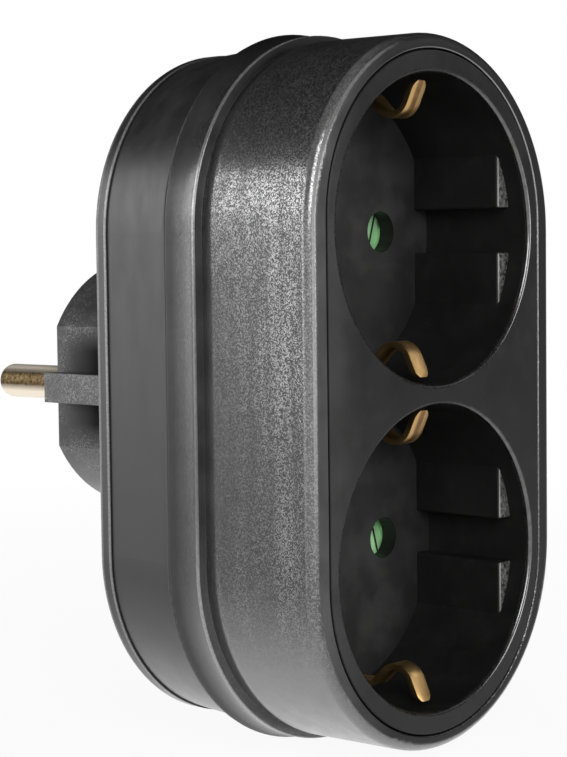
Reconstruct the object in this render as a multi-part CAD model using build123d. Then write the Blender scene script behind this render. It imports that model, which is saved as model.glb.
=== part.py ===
from build123d import *

import os

# Two-way earthed plug-in adapter. Millimetres, +Z up, sockets towards -Y, plug towards +Y.
# The origin is the centre of the plug's engagement face. Depths are measured back from the socket face.

# Housing outline: two half circles joined by straight sides, stepped inwards from the collar to the wells
collar_radius = 25.9
ridge_drop = 0.5
cove_depth = 0.72
collar_rise = 1.3
shell_draft = 0.3
rim_width = 2.92
seam_rise = 1.0
seam_gap = 0.2
face_margin = 1.68
well_web = 2.4
housing_step = 1.2
housing_draft = 0.75
lip_rise = 0.25
bead_drop = 0.15

# Housing depths and walls
shell_length = 17.8
collar_length = 4.7
ridge_width = 0.6
cove_length = 2.9
crest_width = 0.3
bead_width = 0.55
lip_length = 2.4
housing_depth = 37.3
collar_wall = 2.3
spigot_length = 4.0
spigot_wall = 1.6
rear_wall = 1.5
ledge_reach = 1.2
ledge_depth = 2.0

# Housing edges and grooves
front_edge_radius = 1.4
seam_edge_radius = 0.22
rim_land = 0.1
groove_width = 2.4
groove_depth = 0.5
groove_floor = 0.5
groove_blend_radius = 4.0
ridge_radius = 0.2
cove_radius = 5.0
collar_edge_radius = 0.2
lip_edge_radius = 0.12
rear_edge_radius = 0.9
inner_edge_radius = 1.2

# Socket wells
well_depth = 17.2
rim_radius = 0.5
guide_ledge_depth = 3.2
guide_reach = 2.7
guide_groove_width = 5.75
guide_edge_radius = 0.4
plate_thickness = 2.5
cup_wall = 1.1
floor_thickness = 2.4
pin_spacing = 19.0
pin_hole_diameter = 5.5

# Safety shutters
shutter_thickness = 2.1
shutter_clearance = 0.3
shutter_half_width = 14.5
shutter_head = 3.6
shutter_bridge = 3.0
shutter_corner_radius = 1.5
window_drop = 6.6
slot_half_width = 4.4
slot_margin = 0.2
ramp_width = 6.8
ramp_depth = 1.7
ramp_groove_offset = 2.1
ramp_groove_width = 0.35
ramp_groove_depth = 0.25

# Shutter springs
spring_wire = 0.35
spring_mean_diameter = 1.8
spring_turns = 5
spring_peg_diameter = 1.1
spring_peg_length = 2.0

# Screw bosses, pillars and screws
boss_rise = 5.0
boss_diameter = 6.0
boss_tip_length = 1.4
boss_end_gap = 0.4
spring_pad_width = 3.2
spring_pad_drop = 0.8
pillar_diameter = 9.4
screw_diameter = 2.9
screw_head_diameter = 5.6
screw_head_height = 1.8
screw_sink = 2.4
screw_end_gap = 0.8
screw_tip_radius = 0.4
recess_width = 0.9
recess_span = 3.2
recess_depth = 1.1

# Insulating carrier
carrier_thickness = 2.0

# Earth clips
clip_thickness = 0.8
clip_width = 2.6
clip_base_width = 7.0
clip_collar_diameter = 10.0
clip_inset = 2.1
clip_tip_inset = 0.75
clip_tip_depth = 2.95
clip_apex_inset = 6.8
clip_apex_depth = 5.8
clip_shoulder_inset = 2.3
clip_shoulder_depth = 10.4
clip_bend_radius = 1.5
clip_apex_radius = 2.6

# Plug body
plug_length = 17.8
plug_radius = 17.5
plug_flat_offset = 15.4
plug_edge_radius = 0.4
plug_wall = 2.2
plug_face_wall = 3.0
rib_width = 4.0
rib_offset = 18.5
rib_setback = 0.6
rib_chamfer = 0.4
pin_boss_diameter = 8.2

# Plug pins
pin_diameter = 4.8
pin_root_step = 0.4
pin_length = 17.6
pin_tip_radius = 1.7
pin_shoulder_diameter = 6.4
pin_spigot_diameter = 2.8
pin_head_diameter = 4.4
pin_head_height = 0.8

# Plug earth strips
strip_thickness = 0.8
strip_width = 5.6
strip_sink = 1.5
strip_hook = 1.9
strip_setback = 0.5
strip_tab_end = 2.2
strip_bend_radius = 1.1

# Line bars and spring contacts
bar_width = 8.0
bar_thickness = 1.0
bar_overhang = 5.0
bar_corner_radius = 2.0
bar_rear_gap = 2.7
bar_pad_width = 6.0
bar_pad_height = 2.2
bar_pad_drop = 3.9
contact_thickness = 0.6
contact_height = 6.0
contact_base_half_width = 3.5
contact_pinch_half_width = 2.2
contact_mouth_half_width = 3.3
contact_mouth_length = 2.2
contact_bend_radius = 0.7
contact_tail_width = 5.2
contact_tail_length = 10.4
contact_pass_diameter = 5.4
carrier_gap = 0.6

# Rivets and the earth link
rivet_diameter = 2.4
rivet_head_diameter = 3.8
rivet_head_height = 0.7
contact_rivet_drop = 7.6
link_width = 5.0
earth_rivet_inset = 4.1

# Clearances
joint_clearance = 0.15
slip_clearance = 0.2
cup_clearance = 0.3
pin_clearance = 0.05
cut_overrun = 1.0

# Places worked out from the sizes above
face_y = -(housing_depth + plug_length)
shell_rear_radius = collar_radius - collar_rise
shell_front_radius = shell_rear_radius - shell_draft
bore_radius = shell_front_radius - rim_width
insert_radius = bore_radius - seam_gap
well_radius = insert_radius - face_margin
cup_radius = well_radius + cup_wall
housing_front_radius = collar_radius - housing_step
housing_rear_radius = housing_front_radius - housing_draft
socket_pitch = 2 * well_radius + well_web
well_z = socket_pitch / 2
seam_z = well_z + seam_rise
guide_flat_offset = well_radius - guide_reach
clip_offset = well_radius - clip_inset
pin_x = pin_spacing / 2
window_diameter = pin_hole_diameter + 2 * slip_clearance
pin_root_diameter = pin_diameter + 2 * pin_root_step
strip_offset = plug_radius - strip_sink
strip_middle = strip_offset - strip_thickness / 2
earth_rivet_z = strip_middle - earth_rivet_inset
collar_end = shell_length + collar_length
rebate_radius = collar_radius - collar_wall
spigot_radius = rebate_radius - joint_clearance
spigot_front = collar_end - spigot_length
cavity_radius = spigot_radius - spigot_wall
bead_rear = collar_end + bead_width
lip_front = housing_depth - lip_length
inner_rear = housing_depth - rear_wall
plug_front = housing_depth + plug_length
floor_rear = well_depth + floor_thickness
shutter_front = floor_rear + shutter_clearance
shutter_rear = shutter_front + shutter_thickness
carrier_front = shutter_rear + shutter_clearance
carrier_rear = carrier_front + carrier_thickness
clip_base_rear = carrier_rear + clip_thickness
strip_tab_rear = clip_base_rear + strip_thickness
link_rear = strip_tab_rear + strip_thickness
bar_rear = inner_rear - bar_rear_gap
bar_front = bar_rear - bar_thickness
contact_front = carrier_rear + carrier_gap
boss_z = well_z + boss_rise
boss_end = clip_base_rear + boss_tip_length
slot_bottom = -(window_drop + window_diameter / 2 + slot_margin)
shutter_foot = slot_bottom - shutter_bridge
spring_seat_z = boss_rise - boss_diameter / 2 - spring_pad_drop
spring_axis_y = face_y + (shutter_front + shutter_rear) / 2


def y_at(depth):
    """Row Y of a depth behind the socket face."""
    return face_y + depth


def section(corners):
    """Face in the radius and depth plane from corners of (radius, depth, rounding)."""
    points = [(radius, y_at(depth)) for radius, depth, _ in corners]
    return make_face(FilletPolyline(*points, radius=[corner[2] for corner in corners], close=True))


def around_stadium(profile, end_z=well_z):
    """Carry a section round the housing outline: straight along the sides, turned at both ends."""
    side = extrude(profile, amount=end_z, both=True)
    end_axis = Axis((0, 0, end_z), (0, -1, 0))
    end = revolve(Pos(0, 0, end_z) * profile, axis=end_axis, revolution_arc=180)
    return side + mirror(side, about=Plane.YZ) + end + mirror(end, about=Plane.XY)


def slab(profile, front, back):
    """Extrude a face drawn across width and height from one depth to another."""
    plane = Plane((0, y_at(front), 0), x_dir=(1, 0, 0), z_dir=(0, -1, 0))
    return extrude(plane * profile, amount=front - back)


def peg(x, z, diameter, front, back):
    """Round bar along the depth."""
    return slab(Pos(x, z) * Circle(diameter / 2), front, back)


def block(x, z, width, height, front, back):
    """Rectangular bar along the depth."""
    return slab(Pos(x, z) * Rectangle(width, height), front, back)


def turned(x, z, profile):
    """Turn a section about the depth axis at one place."""
    axis = Axis((x, 0, z), (0, 1, 0))
    return revolve(Pos(x, 0, z) * profile, axis=axis, revolution_arc=360)


def bent_strip(points, bend_radii, thickness, width):
    """Sheet strip across the width, bent along points of (height, depth) on its middle line."""
    path = FilletPolyline(*[(y_at(depth), z) for z, depth in points], radius=bend_radii)
    return extrude(Plane.YZ * trace(path, line_width=thickness), amount=width / 2, both=True)


def both_wells(upper):
    """A feature of the upper well together with its mirror image in the lower well."""
    return upper + mirror(upper, about=Plane.XY)


def rivet(x, z, front, back):
    """Rivet through sheets that lie between two depths, with a flat head on each side."""
    shank = peg(x, z, rivet_diameter, front - rivet_head_height, back + rivet_head_height)
    front_head = peg(x, z, rivet_head_diameter, front - rivet_head_height, front)
    back_head = peg(x, z, rivet_head_diameter, back, back + rivet_head_height)
    return shank + front_head + back_head


def make_front_shell():
    """Outer sleeve: drafted wall, groove, ridged and coved collar, bored for the insert and spigot."""
    outer_edge = min(front_edge_radius, rim_width - seam_rise - seam_edge_radius - rim_land)
    groove_radius = shell_rear_radius - groove_depth
    ridge_rear = shell_length + ridge_width
    crest_front = collar_end - crest_width
    outside = around_stadium(section([
        (0, 0, 0),
        (shell_front_radius, 0, outer_edge),
        (shell_rear_radius, shell_length - groove_width, groove_blend_radius),
        (groove_radius, shell_length - groove_floor, 0),
        (groove_radius, shell_length, 0),
        (collar_radius - ridge_drop, shell_length, ridge_radius),
        (collar_radius - ridge_drop, ridge_rear, ridge_radius),
        (collar_radius - cove_depth, ridge_rear, 0),
        (collar_radius - cove_depth, crest_front - cove_length, cove_radius),
        (collar_radius, crest_front, 0),
        (collar_radius, collar_end, collar_edge_radius),
        (0, collar_end, 0),
    ]))
    mouth_radius = bore_radius + 2 * seam_edge_radius
    ledge_radius = bore_radius - ledge_reach
    ledge_rear = plate_thickness + ledge_depth
    rebate_front = spigot_front - joint_clearance
    bore = around_stadium(section([
        (0, -cut_overrun, 0),
        (mouth_radius, -cut_overrun, 0),
        (mouth_radius, 0, 0),
        (bore_radius, 0, seam_edge_radius),
        (bore_radius, plate_thickness, 0),
        (ledge_radius, plate_thickness, 0),
        (ledge_radius, ledge_rear, 0),
        (bore_radius, ledge_rear + ledge_reach, 0),
        (bore_radius, rebate_front, 0),
        (0, rebate_front, 0),
    ]), seam_z)
    rebate = around_stadium(section([
        (0, rebate_front, 0),
        (rebate_radius, rebate_front, 0),
        (rebate_radius, collar_end, 0),
        (0, collar_end, 0),
    ]))
    cup_room = peg(0, well_z, 2 * (cup_radius + cup_clearance), plate_thickness, rebate_front)
    return outside - bore - rebate - both_wells(cup_room)


def guide_blocks():
    """Guides of the upper well: a flat on each side below the ledge, parted by a groove for a plug's rib."""
    width = well_radius + cut_overrun - guide_flat_offset
    height = well_radius - guide_groove_width / 2
    middle_z = well_z + guide_groove_width / 2 + height / 2
    guide = block(guide_flat_offset + width / 2, middle_z, width, height, guide_ledge_depth, well_depth)
    corner = (guide_flat_offset, y_at(guide_ledge_depth), well_z + guide_groove_width / 2)
    guide = fillet(guide.edges().sort_by_distance(corner)[:3], guide_edge_radius)
    pair = guide + mirror(guide, about=Plane.YZ)
    return pair + mirror(pair, about=Plane.XY.offset(well_z))


def well_hollow():
    """The space inside the upper well, with a rounded rim at its mouth and the guides left standing."""
    bowl = section([
        (0, -cut_overrun, 0),
        (well_radius + 2 * rim_radius, -cut_overrun, 0),
        (well_radius + 2 * rim_radius, 0, 0),
        (well_radius, 0, rim_radius),
        (well_radius, well_depth, 0),
        (0, well_depth, 0),
    ])
    return turned(0, well_z, bowl) - guide_blocks()


def earth_slot(front, back, bend_room=0):
    """Slots for the arms of the upper earth clip through a wall, with room towards the centre for a bend."""
    width = clip_width + 2 * slip_clearance
    height = clip_thickness + 2 * slip_clearance + bend_room
    offset = clip_offset - bend_room / 2
    outer = block(0, well_z + offset, width, height, front, back)
    return outer + block(0, well_z - offset, width, height, front, back)


def pin_holes(diameter, front, back):
    """The pair of pin holes of the upper well through a wall between two depths."""
    return peg(-pin_x, well_z, diameter, front, back) + peg(pin_x, well_z, diameter, front, back)


def make_socket_insert():
    """Face plate with two cups: wells in front, shutter chambers behind, and a screw boss on each floor."""
    plate = around_stadium(section([
        (0, 0, 0),
        (insert_radius, 0, seam_edge_radius),
        (insert_radius, plate_thickness, 0),
        (0, plate_thickness, 0),
    ]), seam_z)
    cups = both_wells(peg(0, well_z, 2 * cup_radius, 0, carrier_front))
    chamber = peg(0, well_z, 2 * well_radius, floor_rear, carrier_front)
    openings = well_hollow() + chamber
    openings += pin_holes(pin_hole_diameter, well_depth, floor_rear) + earth_slot(well_depth, floor_rear)
    pad_height = boss_diameter / 2 + spring_pad_drop
    boss = peg(0, boss_z, boss_diameter, floor_rear, boss_end)
    boss += block(0, boss_z - pad_height / 2, spring_pad_width, pad_height, floor_rear, shutter_rear)
    pilot = peg(0, boss_z, screw_diameter + 2 * pin_clearance, floor_rear - screw_end_gap, boss_end)
    return plate + cups - both_wells(openings) + both_wells(boss) - both_wells(pilot)


def make_carrier():
    """Insulating plate behind the shutters, with holes for the pins, bosses and earth arms."""
    plate = around_stadium(section([
        (0, carrier_front, 0),
        (cup_radius, carrier_front, 0),
        (cup_radius, carrier_rear, 0),
        (0, carrier_rear, 0),
    ]))
    holes = pin_holes(pin_hole_diameter, carrier_front, carrier_rear)
    holes += peg(0, boss_z, boss_diameter + 2 * slip_clearance, carrier_front, carrier_rear)
    holes += earth_slot(carrier_front, carrier_rear, clip_bend_radius)
    head_room = rivet_head_diameter + 2 * slip_clearance
    holes += peg(0, earth_rivet_z, head_room, carrier_rear - rivet_head_height - slip_clearance, carrier_rear)
    return plate - both_wells(holes)


def make_shutter():
    """Sliding plate of the upper well: two grooved ramps that close the holes, each over an open window."""
    height = shutter_head - shutter_foot
    middle = (shutter_head + shutter_foot) / 2
    outline = Pos(0, middle) * RectangleRounded(2 * shutter_half_width, height, shutter_corner_radius)
    outline &= Circle(well_radius - shutter_clearance)
    slot_height = shutter_head - slot_bottom
    outline -= Pos(0, slot_bottom + slot_height / 2) * Rectangle(2 * slot_half_width, slot_height)
    for x in (-pin_x, pin_x):
        outline -= Pos(x, -window_drop) * Circle(window_diameter / 2)
    plate = slab(Pos(0, well_z) * outline, shutter_front, shutter_rear)
    ramp_top = well_z + pin_hole_diameter / 2
    ramp_bottom = well_z - window_drop + window_diameter / 2 - slot_margin
    ramp = make_face(Polyline(
        (y_at(shutter_front), ramp_top),
        (y_at(shutter_front), ramp_bottom),
        (y_at(shutter_front + ramp_depth), ramp_bottom),
        close=True,
    ))
    cut = extrude(Plane.YZ * ramp, amount=ramp_width / 2, both=True)
    groove = Pos(0, ramp_groove_depth, 0) * extrude(Plane.YZ * ramp, amount=ramp_groove_width / 2, both=True)
    cut += Pos(-ramp_groove_offset, 0, 0) * groove + Pos(ramp_groove_offset, 0, 0) * groove
    plate -= Pos(-pin_x, 0, 0) * cut + Pos(pin_x, 0, 0) * cut
    spring_peg = Cylinder(spring_peg_diameter / 2, spring_peg_length)
    return plate + Pos(0, spring_axis_y, well_z + slot_bottom + spring_peg_length / 2) * spring_peg


def make_shutter_spring():
    """Coil spring between the upper shutter's bridge and the pad under the screw boss."""
    bottom = well_z + slot_bottom + spring_wire / 2
    height = spring_seat_z - slot_bottom - spring_wire
    coil_radius = spring_mean_diameter / 2
    coil = Helix(pitch=height / spring_turns, height=height, radius=coil_radius)
    wire_section = Plane(coil @ 0, z_dir=coil % 0) * Rectangle(spring_wire, spring_wire)
    wire = sweep(wire_section, path=coil, is_frenet=True)
    return Pos(0, spring_axis_y, bottom) * wire


def make_earth_clip():
    """Bent strip of the upper well: a flat base behind the carrier and an arched spring arm at each end."""
    base_depth = carrier_rear + clip_thickness / 2
    arm = [
        (clip_tip_inset, clip_tip_depth),
        (clip_apex_inset, clip_apex_depth),
        (clip_shoulder_inset, clip_shoulder_depth),
        (clip_inset, well_depth),
        (clip_inset, base_depth),
    ]
    points = [(well_z + well_radius - inset, depth) for inset, depth in arm]
    points += [(well_z - well_radius + inset, depth) for inset, depth in reversed(arm)]
    bends = [clip_apex_radius, clip_bend_radius, clip_bend_radius, clip_bend_radius]
    strip = bent_strip(points, bends + bends[::-1], clip_thickness, clip_base_width)
    arms = Pos(0, well_z) * SlotOverall(2 * (well_radius - clip_tip_inset), clip_width, rotation=90)
    keep = slab(arms, 0, carrier_rear)
    keep += block(0, well_z, clip_base_width, 2 * well_radius, carrier_rear, clip_base_rear)
    collar = peg(0, boss_z, clip_collar_diameter, carrier_rear, clip_base_rear)
    hole = peg(0, boss_z, boss_diameter + 2 * slip_clearance, carrier_rear, clip_base_rear)
    hole += peg(0, earth_rivet_z, rivet_diameter + 2 * pin_clearance, carrier_rear, clip_base_rear)
    return (strip & keep) + collar - hole


def make_plug_earth_strip():
    """Top earth strip of the plug: hooked over its edge, run through the rear wall, bent on to the clip."""
    hook_depth = plug_front - strip_setback - strip_thickness / 2
    tab_depth = clip_base_rear + strip_thickness / 2
    points = [
        (strip_middle - strip_hook, hook_depth),
        (strip_middle, hook_depth),
        (strip_middle, tab_depth),
        (earth_rivet_z - strip_tab_end, tab_depth),
    ]
    strip = bent_strip(points, strip_bend_radius, strip_thickness, strip_width)
    return strip - peg(0, earth_rivet_z, rivet_diameter + 2 * pin_clearance, clip_base_rear, strip_tab_rear)


def make_earth_link():
    """Flat strip that joins the two earth clips, riveted on the tabs of the plug's earth strips."""
    outline = SlotOverall(2 * earth_rivet_z + link_width, link_width, rotation=90)
    for z in (-earth_rivet_z, earth_rivet_z):
        outline -= Pos(0, z) * Circle(rivet_diameter / 2 + pin_clearance)
    return slab(outline, strip_tab_rear, link_rear)


def make_line_bar():
    """Left line bar: a strip between the wells with holes for the plug pin, the rivets and passing pins."""
    length = socket_pitch + 2 * bar_overhang
    outline = Rectangle(bar_width, length)
    outline = fillet(outline.vertices(), bar_corner_radius)
    outline -= Circle(pin_spigot_diameter / 2 + pin_clearance)
    for side in (-1, 1):
        outline -= Pos(0, side * well_z) * Circle(contact_pass_diameter / 2)
        outline -= Pos(0, side * (well_z - contact_rivet_drop)) * Circle(rivet_diameter / 2 + pin_clearance)
    return slab(Pos(-pin_x, 0) * outline, bar_front, bar_rear)


def make_contact():
    """Spring contact of the upper left pin hole: two leaves on a riveted tail."""
    base_depth = bar_front - contact_thickness / 2
    pinch_depth = contact_front + contact_mouth_length
    half = [
        (-contact_mouth_half_width, contact_front),
        (-contact_pinch_half_width, pinch_depth),
        (-contact_base_half_width, base_depth),
    ]
    points = half + [(-x, depth) for x, depth in reversed(half)]
    path = FilletPolyline(
        *[(x, y_at(depth)) for x, depth in points],
        radius=contact_bend_radius,
    )
    leaves = extrude(trace(path, line_width=contact_thickness), amount=contact_height / 2, both=True)
    tail_middle = -contact_tail_length / 2
    tail_front = bar_front - contact_thickness
    tail = block(0, tail_middle, contact_tail_width, contact_tail_length, tail_front, bar_front)
    holes = peg(0, 0, contact_pass_diameter, tail_front, bar_front)
    holes += peg(0, -contact_rivet_drop, rivet_diameter + 2 * pin_clearance, tail_front, bar_front)
    return Pos(-pin_x, 0, well_z) * (leaves + tail - holes)


def make_plug_pin():
    """Left plug pin: rounded tip, shank, shoulder on the plug's boss, and an end riveted on the line bar."""
    tip = plug_front + pin_length
    profile = section([
        (0, bar_front - pin_head_height, 0),
        (pin_head_diameter / 2, bar_front - pin_head_height, pin_head_height / 2),
        (pin_head_diameter / 2, bar_front, 0),
        (pin_spigot_diameter / 2, bar_front, 0),
        (pin_spigot_diameter / 2, bar_rear, 0),
        (pin_shoulder_diameter / 2, bar_rear, 0),
        (pin_shoulder_diameter / 2, housing_depth, 0),
        (pin_root_diameter / 2, housing_depth, 0),
        (pin_root_diameter / 2, plug_front, 0),
        (pin_diameter / 2, plug_front, 0),
        (pin_diameter / 2, tip, pin_tip_radius),
        (0, tip, 0),
    ])
    return turned(-pin_x, 0, profile)


def make_plug_body():
    """Plug moulded on the rear wall: round with two flats, a guide rib on each flat, hollow inside."""
    outline = Circle(plug_radius) & Rectangle(2 * plug_flat_offset, 2 * plug_radius)
    body = slab(outline, inner_rear, plug_front)
    body = fillet(body.faces().sort_by(Axis.Y)[-1].edges(), plug_edge_radius)
    rib_end = plug_front - rib_setback
    rib = make_face(Polyline(
        (0, y_at(inner_rear)),
        (rib_offset, y_at(inner_rear)),
        (rib_offset, y_at(rib_end - rib_chamfer)),
        (rib_offset - rib_chamfer, y_at(rib_end)),
        (0, y_at(rib_end)),
        close=True,
    ))
    ribs = extrude(rib, amount=rib_width / 2, both=True)
    return body + ribs + mirror(ribs, about=Plane.YZ)


def plug_hollow():
    """The space inside the plug, round a boss for each pin."""
    strip_floor = strip_offset - strip_thickness
    outline = Circle(plug_radius - plug_wall)
    outline &= Rectangle(2 * (plug_flat_offset - plug_wall), 2 * (strip_floor - plug_wall))
    hollow = slab(outline, inner_rear, plug_front - plug_face_wall)
    for x in (-pin_x, pin_x):
        hollow -= peg(x, 0, pin_boss_diameter, housing_depth, plug_front)
    return hollow


def strip_recess():
    """Recess for the plug's top earth strip, with its front notch and the slot through the rear wall."""
    strip_floor = strip_offset - strip_thickness
    width = strip_width + 2 * slip_clearance
    height = plug_radius - strip_floor
    recess = block(0, strip_floor + height / 2, width, height, housing_depth, plug_front)
    notch_bottom = strip_middle - strip_hook - slip_clearance
    notch_front = plug_front - strip_setback - strip_thickness - strip_bend_radius
    notch_height = strip_floor - notch_bottom
    recess += block(0, notch_bottom + notch_height / 2, width, notch_height, notch_front, plug_front)
    slot_height = strip_thickness + slip_clearance
    recess += block(0, strip_floor + slot_height / 2, width, slot_height, inner_rear, housing_depth)
    return recess


def make_rear_housing():
    """Rear half: spigot and bead at the collar, drafted wall, lipped rear, plug, pillars and bar pads."""
    shell = around_stadium(section([
        (cavity_radius, spigot_front, 0),
        (spigot_radius, spigot_front, 0),
        (spigot_radius, collar_end, 0),
        (collar_radius - bead_drop, collar_end, collar_edge_radius),
        (collar_radius - bead_drop, bead_rear, collar_edge_radius),
        (housing_front_radius, bead_rear, 0),
        (housing_rear_radius, lip_front, 0),
        (housing_rear_radius + lip_rise, lip_front, lip_edge_radius),
        (housing_rear_radius + lip_rise, housing_depth, rear_edge_radius),
        (0, housing_depth, 0),
        (0, inner_rear, 0),
        (cavity_radius, inner_rear, inner_edge_radius),
    ]))
    pillars = both_wells(peg(0, boss_z, pillar_diameter, clip_base_rear, inner_rear))
    pads = Sketch()
    for x in (-pin_x, pin_x):
        for z in (bar_pad_drop - well_z, well_z - bar_pad_drop):
            pads += Pos(x, z) * Rectangle(bar_pad_width, bar_pad_height)
    solid = shell + make_plug_body() + pillars + slab(pads, bar_rear, inner_rear)
    solid -= plug_hollow()
    boss_seat = boss_diameter + 2 * slip_clearance
    cuts = peg(0, boss_z, boss_seat, clip_base_rear, boss_end + boss_end_gap)
    cuts += peg(0, boss_z, screw_diameter + 2 * slip_clearance, clip_base_rear, housing_depth)
    head_hole = screw_head_diameter + 2 * slip_clearance
    cuts += peg(0, boss_z, head_hole, housing_depth - screw_sink, housing_depth)
    solid -= both_wells(cuts + strip_recess())
    for x in (-pin_x, pin_x):
        solid -= peg(x, 0, pin_root_diameter + 2 * pin_clearance, housing_depth, plug_front)
    return solid


def make_housing_screw():
    """Upper housing screw: pan head sunk in the rear wall, shank in the insert's boss, crossed recess."""
    seat = housing_depth - screw_sink
    profile = section([
        (0, floor_rear, 0),
        (screw_diameter / 2, floor_rear, screw_tip_radius),
        (screw_diameter / 2, seat, 0),
        (screw_head_diameter / 2, seat, 0),
        (screw_head_diameter / 2, seat + screw_head_height, screw_head_height / 2),
        (0, seat + screw_head_height, 0),
    ])
    screw = turned(0, boss_z, profile)
    recess_front = seat + screw_head_height - recess_depth
    cross = Rectangle(recess_span, recess_width) + Rectangle(recess_width, recess_span)
    return screw - slab(Pos(0, boss_z) * cross, recess_front, housing_depth)


def left_and_right(left):
    """A left-hand piece and its mirror image on the right."""
    return {"left": left, "right": mirror(left, about=Plane.YZ)}


def build_parts():
    """Every piece of the adapter by the name of its node."""
    parts = {
        "front_shell": make_front_shell(),
        "socket_insert": make_socket_insert(),
        "rear_housing": make_rear_housing(),
        "contact_carrier": make_carrier(),
        "earth_link": make_earth_link(),
    }
    for side, pin in left_and_right(make_plug_pin()).items():
        parts[f"plug_pin_{side}"] = pin
    for side, bar in left_and_right(make_line_bar()).items():
        parts[f"line_bar_{side}"] = bar
    for side, contact in left_and_right(make_contact()).items():
        parts[f"contact_upper_{side}"] = contact
        parts[f"contact_lower_{side}"] = mirror(contact, about=Plane.XY)
    paired = {
        "shutter": make_shutter(),
        "shutter_spring": make_shutter_spring(),
        "earth_clip": make_earth_clip(),
    }
    for name, piece in paired.items():
        parts[f"{name}_upper"] = piece
        parts[f"{name}_lower"] = mirror(piece, about=Plane.XY)
    strip = make_plug_earth_strip()
    parts["plug_earth_strip_top"] = strip
    parts["plug_earth_strip_bottom"] = mirror(strip, about=Plane.XY)

    screw = make_housing_screw()
    parts["housing_screws"] = Compound(children=[screw, mirror(screw, about=Plane.XY)])
    rivets = []
    for x in (-pin_x, pin_x):
        for z in (well_z - contact_rivet_drop, contact_rivet_drop - well_z):
            rivets.append(rivet(x, z, bar_front - contact_thickness, bar_rear))
    parts["contact_rivets"] = Compound(children=rivets)
    earth = [rivet(0, z, carrier_rear, link_rear) for z in (-earth_rivet_z, earth_rivet_z)]
    parts["earth_rivets"] = Compound(children=earth)
    return parts


def main():
    os.makedirs("parts", exist_ok=True)
    for name, piece in build_parts().items():
        export_step(piece, os.path.join("parts", f"{name}.step"))


if __name__ == "__main__":
    main()
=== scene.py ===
import math

import bmesh
import bpy
from bpy.props import FloatProperty, FloatVectorProperty, PointerProperty
from mathutils import Matrix, Vector


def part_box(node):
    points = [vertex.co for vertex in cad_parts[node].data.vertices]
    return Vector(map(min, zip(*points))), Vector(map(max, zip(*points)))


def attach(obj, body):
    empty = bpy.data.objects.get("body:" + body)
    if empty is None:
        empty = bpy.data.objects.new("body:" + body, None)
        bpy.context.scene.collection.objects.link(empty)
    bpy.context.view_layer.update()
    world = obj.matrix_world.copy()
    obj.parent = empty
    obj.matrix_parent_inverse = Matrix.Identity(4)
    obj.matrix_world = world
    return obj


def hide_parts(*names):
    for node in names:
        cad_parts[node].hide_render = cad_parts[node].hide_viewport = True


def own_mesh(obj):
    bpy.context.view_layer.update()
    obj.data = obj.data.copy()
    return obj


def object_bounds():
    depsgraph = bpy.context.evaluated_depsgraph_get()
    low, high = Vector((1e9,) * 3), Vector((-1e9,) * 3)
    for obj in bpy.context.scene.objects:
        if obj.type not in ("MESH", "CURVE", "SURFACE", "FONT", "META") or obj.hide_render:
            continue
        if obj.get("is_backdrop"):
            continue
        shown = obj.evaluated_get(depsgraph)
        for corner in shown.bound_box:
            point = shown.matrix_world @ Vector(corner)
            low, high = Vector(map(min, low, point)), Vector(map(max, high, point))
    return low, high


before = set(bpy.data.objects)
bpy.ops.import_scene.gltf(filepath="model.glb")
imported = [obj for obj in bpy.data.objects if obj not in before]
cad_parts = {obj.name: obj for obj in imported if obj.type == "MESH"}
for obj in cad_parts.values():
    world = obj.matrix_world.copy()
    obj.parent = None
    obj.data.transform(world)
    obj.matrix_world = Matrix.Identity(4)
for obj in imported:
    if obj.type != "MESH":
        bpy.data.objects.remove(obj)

bl_info = {
    "name": "Two-way socket adapter",
    "version": (1, 0, 0),
    "blender": (4, 5, 0),
    "location": "View3D > Sidebar > Adapter",
    "description": "Finishes, rounded strips, springs and studio stage for a two-way plug-in socket adapter",
    "category": "Object",
}

HOUSING = "housing"
WHITE = (1.0, 1.0, 1.0, 1.0)

# Meshes: points nearer than this are one, in metres, and the angles that part flat, sharp and smooth
MERGE_DISTANCE = 1e-6
FLAT_ANGLE = math.radians(0.5)
SHARP_ANGLE = math.radians(40)
SMOOTH_ANGLE = math.radians(35)

# Mouth rings: sides of the section, steps round the ring, and how far it stands proud of the CAD mesh
RING_SIDES = 32
RING_STEPS = 192
RING_LIFT = 0.00004

# Fine plastic texture: size and height
FINE_SIZE = 0.00022
FINE_DEPTH = 0.00001

# Brass: height of its marks
BRASS_DEPTH = 0.000014

# Stage: half the floor's side, its gap under the object, and the sides of the smaller lights
FLOOR_SIZE = 6.0
FLOOR_GAP = 0.0001
SMALL_LIGHT = 0.25
NEAR_LIGHT = (0.3, 0.4)


class Socket:
    """Output of a node, which takes part in plain arithmetic through Math nodes."""

    def __init__(self, finish, output):
        self.finish = finish
        self.output = output

    def math(self, operation, first, second):
        return self.finish.node("ShaderNodeMath", {"operation": operation}, {0: first, 1: second})

    def __add__(self, other):
        return self.math("ADD", self, other)

    def __radd__(self, other):
        return self.math("ADD", other, self)

    def __sub__(self, other):
        return self.math("SUBTRACT", self, other)

    def __rsub__(self, other):
        return self.math("SUBTRACT", other, self)

    def __mul__(self, other):
        return self.math("MULTIPLY", self, other)

    def __rmul__(self, other):
        return self.math("MULTIPLY", other, self)


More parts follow.
